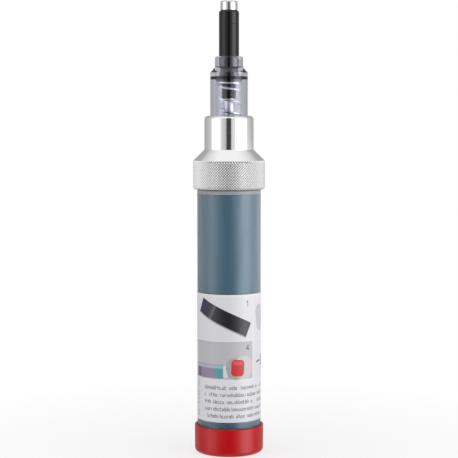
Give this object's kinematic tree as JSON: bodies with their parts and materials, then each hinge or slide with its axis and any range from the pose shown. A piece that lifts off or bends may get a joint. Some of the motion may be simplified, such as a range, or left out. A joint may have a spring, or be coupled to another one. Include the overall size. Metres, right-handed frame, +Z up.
{
  "type": "mini grease applicator",
  "caption": "Push-type mini grease applicator: spring-returned nozzle plunger in a clear housing on a knurled aluminium head, screwed onto a grease cartridge with a red end cap.",
  "frame": {"origin": "centre of the end cap's flat underside, on the axis of the cartridge", "axes": "+Z up along the cartridge and the plunger, out of the nozzle; -Y is the side of the label that faces the picture's camera; +X is to that camera's right"},
  "size_m": [0.0398, 0.0398, 0.2489],
  "materials": {
    "red_plastic": "satin moulded red plastic",
    "frosted_plastic": "frosted translucent plastic",
    "label_paper": "coated white paper with printed fields of colour",
    "grease": "soft blue-grey grease",
    "white_plastic": "natural white plastic",
    "black_rubber": "smooth black rubber",
    "aluminium": "polished turned aluminium, knurled ring",
    "steel": "bright turned steel",
    "spring_wire": "bright drawn wire",
    "copper": "soft copper washer",
    "clear_plastic": "polished clear plastic",
    "black_plastic": "smooth black plastic"
  },
  "bodies": {
    "cartridge": {"cartridge_tube": "frosted_plastic", "label": "label_paper", "grease_fill": "grease"},
    "end_cap": {"end_cap": "red_plastic"},
    "follower": {"follower_piston": "white_plastic"},
    "thread_seal": {"cartridge_gasket": "black_rubber"},
    "head": {"adapter_head": "aluminium", "foot_gasket": "copper", "piston_tube": "steel", "piston_seal": "black_rubber", "housing_seal": "black_rubber", "pump_housing": "clear_plastic", "inlet_spring": "spring_wire", "return_spring": "spring_wire"},
    "inlet_valve": {"inlet_ball": "steel"},
    "plunger": {"plunger_tube": "black_plastic", "stop_ring": "black_rubber", "nozzle_holder": "black_plastic", "nozzle_tip": "steel", "outlet_spring": "spring_wire"},
    "outlet_valve": {"outlet_ball": "steel"}
  },
  "joints": [
    {"name": "cap_pull", "type": "slide", "parent": "cartridge", "child": "end_cap", "axis": [0, 0, -1], "range_m": [0, 0.016]},
    {"name": "follower_slide", "type": "slide", "parent": "cartridge", "child": "follower", "axis": [0, 0, 1], "range_m": [0, 0.125], "deforming": ["grease_fill"]},
    {"name": "head_lift", "type": "slide", "parent": "cartridge", "child": "thread_seal", "axis": [0, 0, 1], "range_m": [0, 0.012]},
    {"name": "head_turn", "type": "hinge", "parent": "thread_seal", "child": "head", "pos_m": [0, 0, 0.151], "axis": [0, 0, 1], "range_deg": [0, 1440]},
    {"name": "plunger_slide", "type": "slide", "parent": "head", "child": "plunger", "axis": [0, 0, -1], "range_m": [0, 0.017], "stiffness_N_per_m": 2400, "springref_m": -0.005, "deforming": ["return_spring"]},
    {"name": "inlet_lift", "type": "slide", "parent": "head", "child": "inlet_valve", "axis": [0, 0, 1], "range_m": [0, 0.0008], "stiffness_N_per_m": 400, "springref_m": -0.0003, "deforming": ["inlet_spring"]},
    {"name": "outlet_lift", "type": "slide", "parent": "plunger", "child": "outlet_valve", "axis": [0, 0, 1], "range_m": [0, 0.001], "stiffness_N_per_m": 430, "springref_m": -0.001, "deforming": ["outlet_spring"]}
  ],
  "couplings": [
    {"joint": "head_turn", "follows": "head_lift", "rad_per_m": 2094.4}
  ]
}
